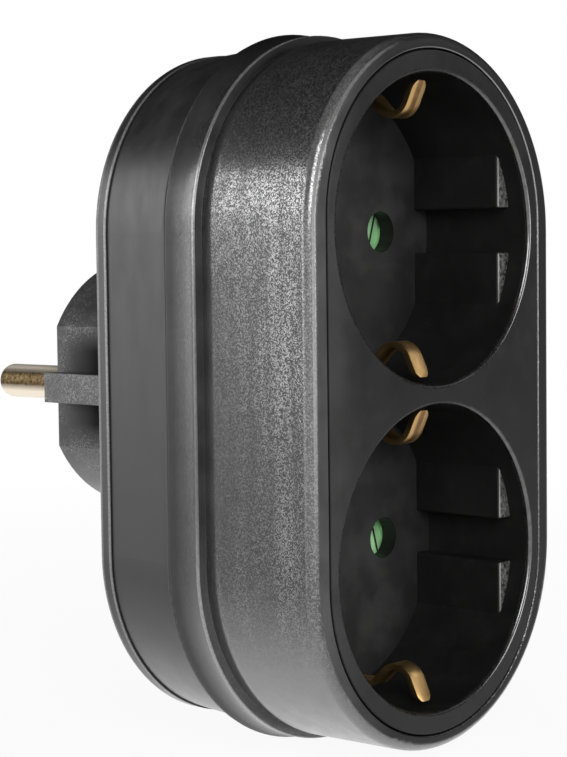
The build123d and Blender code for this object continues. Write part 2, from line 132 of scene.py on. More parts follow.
class Finish:
    """Nodes of one material or of the world."""

    def __init__(self, owner):
        self.owner = owner
        owner.use_nodes = True
        self.tree = owner.node_tree
        self.tree.nodes.clear()

    def node(self, kind, settings=None, sockets=None, output=0):
        """Add a node: its settings first, then values or links for its sockets. Returns one output."""
        made = self.tree.nodes.new(kind)
        for name, value in (settings or {}).items():
            setattr(made, name, value)
        for key, value in (sockets or {}).items():
            if isinstance(value, Socket):
                self.tree.links.new(value.output, made.inputs[key])
            else:
                made.inputs[key].default_value = value
        return Socket(self, made.outputs[output]) if made.outputs else None

    def place(self, stretch=(1.0, 1.0, 1.0)):
        """Object coordinates in metres, stretched along the axes."""
        here = self.node("ShaderNodeTexCoord", output="Object")
        return self.node("ShaderNodeMapping", None, {"Vector": here, "Scale": stretch})

    def along(self, axis):
        """One Object coordinate, in metres."""
        here = self.node("ShaderNodeTexCoord", output="Object")
        return self.node("ShaderNodeSeparateXYZ", None, {0: here}, axis)

    def facing(self, axis):
        """How far the surface faces along one axis, from -1 to 1."""
        normal = self.node("ShaderNodeNewGeometry", output="Normal")
        return self.node("ShaderNodeSeparateXYZ", None, {0: normal}, axis)

    def unsigned(self, value):
        """A value without its sign."""
        return self.node("ShaderNodeMath", {"operation": "ABSOLUTE"}, {0: value})

    def aside(self):
        """Distance from the middle plane, in metres."""
        return self.unsigned(self.along("X"))

    def noise(self, size, detail=2.0, roughness=0.5, stretch=(1.0, 1.0, 1.0)):
        """Cloudy pattern from 0 to 1 whose patches are about one size across, in metres."""
        sockets = {
            "Vector": self.place(stretch),
            "Scale": 1.0 / size,
            "Detail": detail,
            "Roughness": roughness,
        }
        return self.node("ShaderNodeTexNoise", None, sockets, "Fac")

    def grains(self, size):
        """Random level from 0 to 1 for each small cell, about one size across in metres."""
        sockets = {"Vector": self.place(), "Scale": 1.0 / size}
        cell = self.node("ShaderNodeTexVoronoi", {"feature": "F1"}, sockets, "Color")
        return self.node("ShaderNodeSeparateColor", None, {0: cell}, "Red")

    def spread(self, value, low, high, to_low=0.0, to_high=1.0):
        """Stretch a range of a value to another range, held at its ends."""
        sockets = {"Value": value, "From Min": low, "From Max": high, "To Min": to_low, "To Max": to_high}
        return self.node("ShaderNodeMapRange", {"clamp": True}, sockets, "Result")

    def share(self, value):
        """A value held between 0 and 1."""
        return self.spread(value, 0.0, 1.0)

    def band(self, value, low, high, soft):
        """One between two values, falling to zero over a soft edge on both sides."""
        return self.spread(value, low - soft, low) * self.spread(value, high, high + soft, 1.0, 0.0)

    def mix(self, factor, first, second):
        """Colour between two colours."""
        sockets = {"Factor": factor, 6: first, 7: second}
        return self.node("ShaderNodeMix", {"data_type": "RGBA"}, sockets, 2)

    def bump(self, height, depth, strength=1.0):
        """Normals of a rough surface whose height runs from 0 to 1 over a depth in metres."""
        sockets = {"Height": height, "Distance": depth, "Strength": strength}
        return self.node("ShaderNodeBump", None, sockets, "Normal")

    def surface(self, sockets, share=None, others=None):
        """Close a material with its surface shader, or with a share of a second one mixed in."""
        shader = self.node("ShaderNodeBsdfPrincipled", None, sockets, "BSDF")
        if others:
            second = self.node("ShaderNodeBsdfPrincipled", None, others, "BSDF")
            shader = self.node("ShaderNodeMixShader", None, {0: share, 1: shader, 2: second})
        self.node("ShaderNodeOutputMaterial", None, {"Surface": shader})
        return self.owner


def new_finish(name):
    """Start a material of that name."""
    return Finish(bpy.data.materials.new(name))


def opaque(colour):
    """A colour with full alpha."""
    return (colour[0], colour[1], colour[2], 1.0)


def scaled(colour, factor):
    """A colour made darker or lighter, with full alpha."""
    return (colour[0] * factor, colour[1] * factor, colour[2] * factor, 1.0)


def blasted_plastic(settings):
    """Black plastic with sparkling grain and faint upright streaks, less glossy in front, with painted
    highlights on the ridge and front edge and painted shade at the collar's rear, the front and the middle
    of the side.
    """
    f = new_finish("blasted_black_plastic")
    shell_front, shell_rear = [corner[1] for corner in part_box("front_shell")]
    depth = f.along("Y") - shell_front
    height = f.along("Z")
    sideways = f.facing("X")
    ahead = f.facing("Y")
    upward = f.facing("Z")

    # Patterns
    size = settings.grain_size
    grain = f.grains(size)
    streak = f.spread(f.noise(size * 14.0, 3.0, 0.6, (1.0, 1.0, 0.09)), 0.32, 0.68)
    cloud = f.spread(f.noise(0.006, 3.0, 0.5), 0.3, 0.7)
    fine = f.noise(FINE_SIZE, 2.0, 0.6)

    # Places on the shell
    ridge = settings.ridge_depth
    ridge_end = ridge + settings.ridge_width
    collar_end = shell_rear - shell_front
    at_front = f.spread(depth, 0.002, 0.003, 1.0, 0.0)
    on_ridge = f.band(depth, ridge, ridge_end, 0.0001)
    on_collar = f.spread(depth, ridge_end, ridge + 0.001)
    behind = f.spread(depth, collar_end - 0.004, collar_end - 0.001)
    below = f.spread(upward, 0.0, -0.5) * f.spread(upward, -0.75, -0.95, 1.0, 0.75)

    # Painted highlights on the ridge, and on the front edge and the rounding beside it on the left side
    edge = f.band(ahead, -0.95, -0.84, 0.04) * f.spread(sideways, -0.15, -0.25) * at_front
    edge = edge * f.spread(height, -0.026, 0.002, 0.0, 0.7) * f.spread(height, 0.022, 0.034, 1.0, 0.6)
    shoulder = f.band(ahead, -0.82, -0.15, 0.08) * f.spread(sideways, -0.2, -0.5) * at_front
    shoulder = shoulder * f.spread(height, -0.036, -0.010)
    # Painted highlights of the ridge, the front edge and its rounding, added up
    worn = on_ridge + 1.2 * edge + 0.55 * shoulder

    # Pale grain specks, partly painted glints: weaker on the collar and underneath, thinned on top and
    # towards the rear as painted shade, stronger high on the side
    blast = (1.0 - (1.0 - settings.collar_grain) * on_collar) * (1.0 - 0.8 * below)
    blast = blast * f.spread(depth, 0.004, 0.017, 1.1, 0.6) * f.spread(upward, 0.3, 0.8, 1.0, 0.6)
    speck = f.spread(grain, 0.42, 0.86) * blast * (0.4 + 0.6 * streak)
    speck = speck * f.spread(height, 0.014, 0.026, 1.0, 1.3)
    grained = f.mix(speck, scaled(settings.shell_colour, 0.5), opaque(settings.speck_colour))
    # Painted highlights on the ridge, front edge and rounding, strongest on the front edge
    with_painted_highlight = f.mix(f.share(worn * (0.4 + 0.6 * grain)), grained, opaque(settings.highlight_and_grain_colour))
    colour = f.mix(0.5 * edge, with_painted_highlight, scaled(settings.highlight_and_grain_colour, 2.2))
    rough = settings.shell_roughness + 0.12 * (1.0 - streak) + 0.08 * (cloud - 0.5) - 0.08 * on_collar
    shine = on_collar * f.spread(height, 0.030, 0.040, 0.22, 0.6)

    # Less glossy, plain plastic in front. Mixed in further as painted shade: on top of the front rounding,
    # on the ridge's front step, at the rear of the collar and in the middle of the side
    step = f.spread(depth, 0.005, 0.010) * f.spread(height, 0.012, 0.030, 0.5, 0.0)
    on_top = f.spread(ahead, -0.70, -0.90) * f.spread(upward, 0.1, 0.3) * f.spread(sideways, -0.2, -0.1)
    front = (f.spread(ahead, -0.93, -0.985) + on_top) * (1.0 - step)
    dimmed = f.band(height, -0.012, 0.012, 0.012) * f.spread(depth, 0.003, 0.017, 0.0, 0.6)
    plainer_and_shaded = f.share(front + 0.85 * behind + dimmed * (1.0 - on_collar))
    # Painted light: the plain plastic is paler on the left side, less so at the rear of the collar
    left = f.spread(f.along("X"), -0.010, -0.022) * (0.4 + 0.6 * cloud) * (1.0 - 0.6 * behind)
    plain = f.mix(left, scaled(settings.shell_colour, 0.4), scaled(settings.shell_colour, 3.6))
    return f.surface({
        "Base Color": colour,
        "Roughness": rough,
        "Specular IOR Level": settings.shell_sheen,
        "Coat Weight": f.share(speck + 0.95 * below + 0.5 * worn + shine),
        "Coat Roughness": 0.2,
        "Coat IOR": 2.4,
        "Normal": f.bump(grain * blast, settings.grain_depth),
    }, plainer_and_shaded, {
        "Base Color": plain,
        "Roughness": f.spread(cloud, 0.0, 1.0, 0.4, 0.5),
        "Specular IOR Level": settings.rim_sheen,
        "Normal": f.bump(fine, FINE_DEPTH),
    })


def fine_plastic(settings):
    """Black plastic of the socket face: smeared, with real stains and painted light on the well floors,
    painted light along the face's left edge, paler speckled ledge fronts that are partly scuffs and partly
    painted light, and painted highlights along the ledges' inner edges.
    """
    f = new_finish("fine_black_plastic")
    fine = f.noise(FINE_SIZE, 2.0, 0.6)
    cloud = f.spread(f.noise(0.007, 4.0, 0.6), 0.3, 0.7)
    smear = f.spread(f.noise(0.0028, 4.0, 0.65), 0.52, 0.74)
    face_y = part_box("socket_insert")[0][1]
    depth = f.along("Y") - face_y
    facing = f.spread(f.facing("Y"), -0.7, -0.9)
    floor = settings.well_depth
    ledge = settings.ledge_depth
    guide = settings.guide_flat
    on_floor = facing * f.spread(depth, floor - 0.0005, floor - 0.0002)
    on_ledge = facing * f.band(depth, ledge - 0.0001, ledge + 0.0001, 0.0004)
    # Painted highlight along the inner edge of each ledge
    line = on_ledge * f.spread(f.aside(), guide + 0.0002, guide + 0.0004, 1.0, 0.0)
    # Painted light: paler along the face's left edge
    painted_left_light = facing * f.spread(depth, 0.0003, 0.0001) * f.spread(f.along("X"), -0.0150, -0.0195)
    # Real stains on the well floors over an even painted lightening of each floor
    stain_and_light = (0.3 + 0.5 * f.spread(f.noise(0.006, 4.0, 0.55), 0.46, 0.66)) * on_floor
    stain_and_light = stain_and_light + painted_left_light * (0.4 + 0.6 * cloud)
    # Paler speckled ledge fronts: partly scuffs, partly painted light
    scuff_and_light = f.spread(f.noise(0.0005, 3.0, 0.7), 0.38, 0.66) * on_ledge
    tone = 0.2 * fine + 0.4 * cloud + 0.4 * smear
    plain = f.mix(tone, scaled(settings.insert_colour, 0.6), scaled(settings.insert_colour, 1.6))
    stained = f.mix(stain_and_light, plain, opaque(settings.stain_and_light_colour))
    scuffed_and_lit = f.mix(scuff_and_light, stained, opaque(settings.scuff_and_light_colour))
    # Painted highlight colour along the ledges' inner edges
    colour = f.mix(line, scuffed_and_lit, scaled(settings.scuff_and_light_colour, 1.8))
    rough = settings.insert_roughness + 0.10 * (cloud - 0.5) + 0.06 * smear + 0.12 * stain_and_light
    return f.surface({
        "Base Color": colour,
        "Roughness": rough,
        "Specular IOR Level": settings.face_sheen,
        "Normal": f.bump(fine, FINE_DEPTH),
    })


def polished_plastic(settings):
    """Black plastic of the wells' mouths, worn to a shine."""
    f = new_finish("polished_black_plastic")
    wear = f.spread(f.noise(0.0012, 4.0, 0.65), 0.35, 0.65)
    colour = f.mix(wear, scaled(settings.insert_colour, 0.6), scaled(settings.insert_colour, 1.6))
    return f.surface({
        "Base Color": colour,
        "Roughness": f.spread(wear, 0.0, 1.0, 0.22, 0.34),
        "Specular IOR Level": settings.face_sheen,
        "Coat Weight": f.spread(f.facing("X"), -0.05, -0.4) * (0.7 + 0.3 * wear),
        "Coat Roughness": 0.2,
        "Coat IOR": 2.2,
        "Normal": f.bump(wear, FINE_DEPTH),
    })


def satin_plastic(settings):
    """Black satin plastic of the rear half, mottled, with painted highlights along its lip, sparkling grain
    on the plug and painted shade on the plug's flats beside the rib.
    """
    f = new_finish("satin_black_plastic")
    along = f.along("Y")
    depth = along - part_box("front_shell")[0][1]
    off_middle = f.unsigned(f.along("Z"))

    # Patterns
    fine = f.noise(0.00026, 2.0, 0.6)
    mottle = f.spread(f.noise(0.004, 4.0, 0.6, (1.0, 1.0, 0.45)), 0.3, 0.7)
    patch = f.spread(f.noise(0.005, 3.0, 0.6), 0.40, 0.62)
    grain = f.grains(settings.grain_size)

    # Places on the plug and the lip
    plug_start = -settings.plug_reach
    flat = settings.plug_flat
    lip = settings.lip_depth
    wall = settings.wall_depth
    on_plug = f.spread(along, plug_start - 0.0001, plug_start + 0.0001)
    on_rib = on_plug * f.spread(f.aside(), flat + 0.0004, flat + 0.0008)
    # Painted shade on the plug's flats beside the rib and the rear wall, from a darker, duller second shader
    beside_rib = f.spread(along, -0.001, -0.008) * f.spread(off_middle, 0.0085, 0.005)
    shaded = on_plug * (1.0 - on_rib) * beside_rib
    border = f.share(f.spread(along, -0.004, -0.001) + f.spread(off_middle, 0.0045, 0.008))
    on_lip = f.spread(depth, lip + 0.0001, lip + 0.0003) * (1.0 - on_plug)
    below = f.spread(f.facing("Z"), -0.1, -0.6)

    # Grain specks on the plug, partly painted glints, and painted highlights along the lip and by the rear
    # wall
    grained = 0.03 + on_plug * (0.9 * on_rib + 0.97 * border * (1.0 - on_rib))
    speck = f.spread(grain, 0.55, 1.0) * patch * grained
    # Painted highlights: pale bands along the lip's front edge and by the rear wall, on faces turned to the
    # left
    worn = f.band(depth, lip + 0.0001, lip + 0.0004, 0.0001)
    worn = worn + 0.7 * f.band(depth, wall - 0.0008, wall - 0.0004, 0.0002)
    worn = worn * f.spread(f.facing("X"), -0.1, -0.5) * (0.5 + 0.5 * f.spread(fine, 0.4, 0.6))
    base = f.mix(mottle, scaled(settings.housing_colour, 0.8), scaled(settings.housing_colour, 1.25))
    pale = f.share(speck + worn + 0.06 * on_plug + 0.08 * on_rib)
    height = 0.25 * fine + 0.75 * grain * patch * on_plug
    bump = f.bump(height, settings.grain_depth * 0.7)
    return f.surface({
        "Base Color": f.mix(pale, base, opaque(settings.highlight_and_grain_colour)),
        "Roughness": settings.housing_roughness + 0.16 * (mottle - 0.5) + 0.13 * on_plug,
        "Specular IOR Level": settings.rear_sheen,
        "Coat Weight": f.share(0.05 + speck + 0.9 * below + 0.15 * on_lip + 0.25 * on_rib + worn),
        "Coat Roughness": 0.24,
        "Normal": bump,
    }, shaded, {
        # Painted shade: darker base colour on the plug's shaded flats
        "Base Color": scaled(settings.housing_colour, 0.5),
        "Roughness": 0.6,
        "Specular IOR Level": settings.plug_sheen,
        "Normal": bump,
    })


def carrier_plastic(settings):
    """Dark insulating plastic of the inner plate."""
    f = new_finish("carrier_black_plastic")
    fine = f.noise(0.0004, 3.0, 0.6)
    colour = f.mix(fine, scaled(settings.insert_colour, 0.7), scaled(settings.insert_colour, 1.1))
    rough = f.spread(fine, 0.3, 0.7, 0.5, 0.62)
    return f.surface({"Base Color": colour, "Roughness": rough, "Normal": f.bump(fine, FINE_DEPTH)})


def brass(name, colour, tarnish, stretch, bright_edge=0.0):
    """Brass with dull patches and drawing marks. A strip can be worn bright along its edges, and darker on
    its faces that point down as painted shade.
    """
    f = new_finish(name)
    patch = f.noise(0.0016, 4.0, 0.65)
    marks = f.noise(FINE_SIZE, 2.0, 0.5, stretch)
    dull = f.spread(patch * 0.7 + marks * 0.3, 0.36, 0.66)
    if bright_edge:
        worn = f.spread(f.aside() + 0.0003 * patch, bright_edge * 0.55, bright_edge)
        # Painted shade: faces that point down are darker
        below = f.spread(f.facing("Z"), 0.2, -0.4)
        dull = (0.15 + 0.25 * dull + 0.7 * below) * (1.0 - 0.75 * worn)
    shade = f.mix(dull, opaque(colour), opaque(tarnish))
    rough = f.spread(patch * 0.6 + marks * 0.4, 0.3, 0.7, 0.26, 0.5)
    return f.surface({
        "Base Color": shade,
        "Metallic": f.spread(dull, 0.0, 1.0, 1.0, 0.8),
        "Roughness": rough,
        "Normal": f.bump(marks * 0.5 + patch * 0.5, BRASS_DEPTH),
    })


def pin_brass(settings):
    """Brass of the plug pins: dark speckled tarnish, with painted highlights as pale bands along the bottom
    and the top.
    """
    f = new_finish("pin_brass")
    speck = f.spread(f.noise(0.0005, 4.0, 0.7), 0.40, 0.60)
    marks = f.noise(FINE_SIZE, 2.0, 0.5, (1.0, 0.08, 1.0))
    height = f.along("Z")
    # Painted highlights: pale, less metallic bands along the top and the bottom
    top = f.spread(height, 0.0013, 0.0020)
    highlit = top + f.spread(height, -0.0003, -0.0013)
    dull = 0.88 + 0.12 * speck
    spotted = f.mix(dull, opaque(settings.pin_colour), opaque(settings.pin_tarnish))
    return f.surface({
        "Base Color": f.mix(highlit, spotted, opaque(settings.pin_highlight)),
        "Metallic": 1.0 - 0.6 * top,
        "Roughness": f.spread(dull * (1.0 - highlit), 0.0, 1.0, 0.3, 0.46),
        "Normal": f.bump(marks * 0.5 + speck * 0.5, BRASS_DEPTH),
    })


def green_plastic(settings):
    """Glossy green plastic of the shutters, with painted shade darkening the grooves of the ramps."""
    f = new_finish("green_shutter_plastic")
    cloud = f.noise(0.0025, 3.0, 0.5)
    apart = f.unsigned(f.aside() - settings.pin_apart)
    half = settings.shutter_groove_width / 2.0
    middle = settings.shutter_groove
    # Painted shade in the grooves
    groove = f.band(apart, middle - half, middle + half, 0.00004)
    plain = f.mix(cloud, scaled(settings.shutter_colour, 0.85), scaled(settings.shutter_colour, 1.1))
    colour = f.mix(groove, plain, scaled(settings.shutter_colour, 0.06))
    rough = f.spread(cloud, 0.3, 0.7, 0.24, 0.34)
    return f.surface({"Base Color": colour, "Roughness": rough, "Normal": f.bump(cloud, FINE_DEPTH)})


def steel(name, colour, roughness):
    """Plated steel with fine turning marks."""
    f = new_finish(name)
    marks = f.noise(0.0002, 3.0, 0.6, (1.0, 4.0, 1.0))
    cloud = f.noise(0.002, 3.0, 0.5)
    shade = f.mix(cloud, scaled(colour, 0.82), opaque(colour))
    rough = f.spread(marks * 0.5 + cloud * 0.5, 0.3, 0.7, roughness - 0.08, roughness + 0.08)
    return f.surface({
        "Base Color": shade,
        "Metallic": 1.0,
        "Roughness": rough,
        "Normal": f.bump(marks, FINE_DEPTH),
    })


def new_piece(name, shape, material):
    """Object made of a bmesh, smooth but for its sharp edges."""
    mesh = bpy.data.meshes.new(name)
    shape.to_mesh(mesh)
    shape.free()
    mesh.shade_smooth()
    mesh.set_sharp_from_angle(angle=SMOOTH_ANGLE)
    mesh.materials.append(material)
    piece = bpy.data.objects.new(name, mesh)
    bpy.context.scene.collection.objects.link(piece)
    return piece


def merged_mesh(node):
    """Mesh of a CAD node with its loose triangles joined up."""
    shape = bmesh.new()
    shape.from_mesh(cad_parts[node].data)
    bmesh.ops.remove_doubles(shape, verts=shape.verts, dist=MERGE_DISTANCE)
    bmesh.ops.recalc_face_normals(shape, faces=shape.faces)
    return shape


def rounded_copy(node, rounding, material):
    """Piece that stands for a CAD strip of the housing, with its sharp edges rounded."""
    shape = merged_mesh(node)
    bmesh.ops.dissolve_limit(shape, angle_limit=FLAT_ANGLE, verts=shape.verts, edges=shape.edges)
    sharp = [edge for edge in shape.edges if edge.is_manifold and edge.calc_face_angle() > SHARP_ANGLE]
    bmesh.ops.bevel(shape, geom=sharp, offset=rounding, offset_type="OFFSET", segments=2, profile=0.5,
                    affect="EDGES", material=-1, clamp_overlap=True)
    bmesh.ops.triangulate(shape, faces=[face for face in shape.faces if len(face.verts) > 4])
    piece = new_piece(node + "_rounded", shape, material)
    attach(piece, HOUSING)
    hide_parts(node)
    return piece


def coil_copy(node, material):
    """Piece that stands for a CAD spring, with its own copy of the mesh."""
    piece = new_piece(node + "_coil", merged_mesh(node), material)
    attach(piece, HOUSING)
    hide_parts(node)
    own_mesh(piece)
    return piece


def mouth_ring(name, middle_z, settings, material):
    """Smooth rounded ring that lines the mouth of a well."""
    face_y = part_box("socket_insert")[0][1]
    rounding = settings.mouth_round
    shape = bmesh.new()
    bmesh.ops.create_circle(shape, segments=RING_SIDES, radius=rounding)
    start = (settings.well_radius + rounding - RING_LIFT, face_y + rounding, middle_z)
    bmesh.ops.translate(shape, verts=shape.verts, vec=start)
    section = shape.verts[:] + shape.edges[:]
    bmesh.ops.spin(shape, geom=section, cent=(0.0, 0.0, middle_z), axis=(0.0, 1.0, 0.0),
                   angle=2.0 * math.pi, steps=RING_STEPS, use_merge=True, use_duplicate=False)
    bmesh.ops.remove_doubles(shape, verts=shape.verts, dist=MERGE_DISTANCE)
    bmesh.ops.recalc_face_normals(shape, faces=shape.faces)
    piece = new_piece(name, shape, material)
    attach(piece, HOUSING)
    return piece


def dress(node_names, material):
    """Give CAD nodes a material."""
    for name in node_names:
        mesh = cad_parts[name].data
        mesh.materials.clear()
        mesh.materials.append(material)


def nodes_named(start):
    """Names of the CAD nodes that start with a word."""
    return sorted(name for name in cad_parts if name.startswith(start))


class AdapterFinishes(bpy.types.PropertyGroup):
    """Colours and surface sizes of the adapter."""

    shell_colour: FloatVectorProperty(
        name="Shell colour", description="Plastic of the grained front shell",
        default=(0.022, 0.022, 0.022), subtype="COLOR", min=0.0, max=1.0)
    # Pale grain specks, partly painted glints
    speck_colour: FloatVectorProperty(
        name="Speck colour", description="Lit grains on the front shell",
        default=(0.09, 0.09, 0.089), subtype="COLOR", min=0.0, max=1.0)
    # Colour of the painted highlights on the shell's ridge and front edge and along the rear lip, and of
    # grain specks on the plug
    highlight_and_grain_colour: FloatVectorProperty(
        name="Worn colour", description="Worn edges of the housing and lit grains on the plug",
        default=(0.20, 0.20, 0.198), subtype="COLOR", min=0.0, max=1.0)
    # Colour of the floor stains and of the painted light on the well floors and the face's left edge
    stain_and_light_colour: FloatVectorProperty(
        name="Stain colour", description="Pale patches on the well floors",
        default=(0.045, 0.045, 0.0445), subtype="COLOR", min=0.0, max=1.0)
    # Colour of the paler ledge fronts, partly scuffs and partly painted light; brighter for the painted edge
    # highlights
    scuff_and_light_colour: FloatVectorProperty(
        name="Scuff colour", description="Scuffed front of the guide ledges",
        default=(0.22, 0.22, 0.215), subtype="COLOR", min=0.0, max=1.0)
    insert_colour: FloatVectorProperty(
        name="Face colour", description="Plastic of the socket face and its wells",
        default=(0.014, 0.014, 0.0138), subtype="COLOR", min=0.0, max=1.0)
    housing_colour: FloatVectorProperty(
        name="Rear colour", description="Satin plastic of the rear half and the plug",
        default=(0.016, 0.016, 0.0162), subtype="COLOR", min=0.0, max=1.0)
    shutter_colour: FloatVectorProperty(
        name="Shutter colour", description="Green plastic of the safety shutters",
        default=(0.52, 0.96, 0.50), subtype="COLOR", min=0.0, max=1.0)
    pin_apart: FloatProperty(
        name="Pin offset", description="Distance of each pin hole from the middle",
        default=0.0095, unit="LENGTH", precision=5)
    shutter_travel: FloatProperty(
        name="Shutter travel", description="How far a shutter slides open",
        default=0.0066, unit="LENGTH", precision=5)
    shutter_groove: FloatProperty(
        name="Shutter groove offset",
        description="Distance of a shutter's grooves from the middle of the hole",
        default=0.0021, unit="LENGTH", precision=5)
    shutter_groove_width: FloatProperty(
        name="Shutter groove width", description="Width of a shutter's grooves",
        default=0.00035, unit="LENGTH", precision=5)
    clip_colour: FloatVectorProperty(
        name="Clip colour", description="Brass of the earth clips and inner strips",
        default=(0.66, 0.43, 0.18), subtype="COLOR", min=0.0, max=1.0)
    clip_tarnish: FloatVectorProperty(
        name="Clip tarnish", description="Dull parts of the earth clips",
        default=(0.17, 0.085, 0.03), subtype="COLOR", min=0.0, max=1.0)
    pin_colour: FloatVectorProperty(
        name="Pin colour", description="Clean brass of the plug pins",
        default=(0.80, 0.60, 0.34), subtype="COLOR", min=0.0, max=1.0)
    # Colour of the painted highlights along the pins' top and bottom
    pin_highlight: FloatVectorProperty(
        name="Wiped pin colour", description="Pale wiped parts of the plug pins",
        default=(0.96, 0.86, 0.70), subtype="COLOR", min=0.0, max=1.0)
    pin_tarnish: FloatVectorProperty(
        name="Pin tarnish", description="Dark speckles on the plug pins",
        default=(0.045, 0.027, 0.009), subtype="COLOR", min=0.0, max=1.0)
    steel_colour: FloatVectorProperty(
        name="Steel colour", description="Plated steel of the springs and screws",
        default=(0.62, 0.62, 0.61), subtype="COLOR", min=0.0, max=1.0)
    grain_size: FloatProperty(
        name="Grain size", description="Width of one grain on the front shell",
        default=0.00014, unit="LENGTH", precision=5)
    grain_depth: FloatProperty(
        name="Grain depth", description="Height of the grain on the front shell",
        default=0.00004, unit="LENGTH", precision=5)
    ridge_depth: FloatProperty(
        name="Ridge depth", description="Depth of the collar's ridge behind the face",
        default=0.0178, unit="LENGTH", precision=5)
    ridge_width: FloatProperty(
        name="Ridge width", description="Width of the collar's ridge",
        default=0.0006, unit="LENGTH", precision=5)
    lip_depth: FloatProperty(
        name="Lip depth", description="Depth of the front edge of the rear lip behind the face",
        default=0.0349, unit="LENGTH", precision=5)
    wall_depth: FloatProperty(
        name="Rear wall depth", description="Depth of the rear wall behind the face",
        default=0.0373, unit="LENGTH", precision=5)
    plug_flat: FloatProperty(
        name="Plug flat", description="Distance of the plug's flats from the middle",
        default=0.0154, unit="LENGTH", precision=5)
    guide_flat: FloatProperty(
        name="Guide flat", description="Distance of the wells' guide flats from the middle",
        default=0.0168, unit="LENGTH", precision=5)
    collar_grain: FloatProperty(
        name="Collar grain", description="Share of the shell's grain on the collar",
        default=0.4, subtype="FACTOR")
    plug_reach: FloatProperty(
        name="Plug length", description="How far the plug stands out behind the rear wall",
        default=0.0178, unit="LENGTH", precision=5)
    shell_roughness: FloatProperty(
        name="Shell roughness", description="Gloss of the grained shell", default=0.30, subtype="FACTOR")
    insert_roughness: FloatProperty(
        name="Face roughness", description="Gloss of the socket face", default=0.38, subtype="FACTOR")
    housing_roughness: FloatProperty(
        name="Rear roughness", description="Gloss of the rear half", default=0.43, subtype="FACTOR")
    shell_sheen: FloatProperty(
        name="Shell sheen", description="Strength of the reflections on the front shell",
        default=0.6, subtype="FACTOR", min=0.0, max=1.0)
    rim_sheen: FloatProperty(
        name="Rim sheen", description="Strength of the reflections on the front of the shell",
        default=0.25, subtype="FACTOR", min=0.0, max=1.0)
    rear_sheen: FloatProperty(
        name="Rear sheen", description="Strength of the reflections on the rear half",
        default=0.5, subtype="FACTOR", min=0.0, max=1.0)
    plug_sheen: FloatProperty(
        name="Plug flat sheen", description="Strength of the reflections on the shaded flats of the plug",
        default=0.05, subtype="FACTOR", min=0.0, max=1.0)
    face_sheen: FloatProperty(
        name="Face sheen", description="Strength of the reflections on the socket face",
        default=0.2, subtype="FACTOR", min=0.0, max=1.0)
    well_apart: FloatProperty(
        name="Well pitch", description="Distance between the middles of the two wells",
        default=0.0414, unit="LENGTH", precision=5)
    well_radius: FloatProperty(
        name="Well radius", description="Radius of the wells",
        default=0.0195, unit="LENGTH", precision=5)
    mouth_round: FloatProperty(
        name="Mouth rounding", description="Rounding of the wells' mouths",
        default=0.0005, unit="LENGTH", precision=5)
    well_depth: FloatProperty(
        name="Well depth", description="Depth of the well floors behind the face",
        default=0.0172, unit="LENGTH", precision=5)
    ledge_depth: FloatProperty(
        name="Ledge depth", description="Depth of the guide ledges behind the face",
        default=0.0032, unit="LENGTH", precision=5)
    edge_round: FloatProperty(
        name="Strip edge rounding", description="Rounding along the edges of the earth clips",
        default=0.00016, unit="LENGTH", precision=5)
    clip_middle: FloatProperty(
        name="Clip middle", description="Half width of the dull middle of an earth clip",
        default=0.00085, unit="LENGTH", precision=5)


class AdapterStage(bpy.types.PropertyGroup):
    """Light, floor and camera of the studio."""

    key_power: FloatProperty(
        name="High side light", description="Power of the soft light high at the left side",
        default=1.9, unit="POWER", min=0.0)
    low_power: FloatProperty(
        name="Low side light", description="Power of the soft light low at the left side",
        default=0.85, unit="POWER", min=0.0)
    side_width: FloatProperty(
        name="Side light width", description="Width of the soft lights at the left side",
        default=0.66, unit="LENGTH", min=0.01)
    side_height: FloatProperty(
        name="Side light height", description="Height of the soft lights at the left side",
        default=0.22, unit="LENGTH", min=0.01)
    fill_power: FloatProperty(
        name="Front light", description="Power of the soft light before the sockets, at the right",
        default=1.2, unit="POWER", min=0.0)
    right_power: FloatProperty(
        name="Right light", description="Power of the small soft light high at the right",
        default=0.3, unit="POWER", min=0.0)
    near_power: FloatProperty(
        name="Near light", description="Power of the soft light over the camera",
        default=2.5, unit="POWER", min=0.0)
    right_dim: FloatProperty(
        name="Right side dimming", description="Share of the white that is mirrored from the right side",
        default=0.3, subtype="FACTOR", min=0.0, max=1.0)
    room_light: FloatProperty(
        name="Room light", description="Strength of the even light all round", default=0.06, min=0.0)
    floor_colour: FloatVectorProperty(
        name="Floor colour", description="Colour of the floor",
        default=(0.9, 0.9, 0.9), subtype="COLOR", min=0.0, max=1.0)
    floor_glow: FloatProperty(
        name="Floor whiteness", description="Share of plain white in the floor as seen", default=0.93,
        subtype="FACTOR", min=0.0, max=1.0)
    camera_place: FloatVectorProperty(
        name="Camera place", description="Where the camera stands",
        default=(-0.18959, -0.20132, 0.01694), subtype="TRANSLATION")
    camera_yaw: FloatProperty(
        name="Camera turn", description="Turn of the view from straight at the face",
        default=math.radians(47.66), subtype="ANGLE")
    camera_pitch: FloatProperty(
        name="Camera tilt", description="Downward tilt of the view",
        default=math.radians(3.52), subtype="ANGLE")
    camera_roll: FloatProperty(
        name="Camera roll", description="Lean of the view", default=math.radians(-0.69), subtype="ANGLE")
    camera_lens: FloatProperty(
        name="Focal length", description="Focal length in millimetres on a 36 mm sensor", default=90.74)


class ADAPTER_OT_front_shell(bpy.types.Operator):
    """Give the front shell its grained plastic"""

    bl_idname = "adapter.front_shell"
    bl_label = "Front shell"

    def execute(self, context):
        dress(["front_shell"], blasted_plastic(context.scene.adapter_finishes))
        return {"FINISHED"}


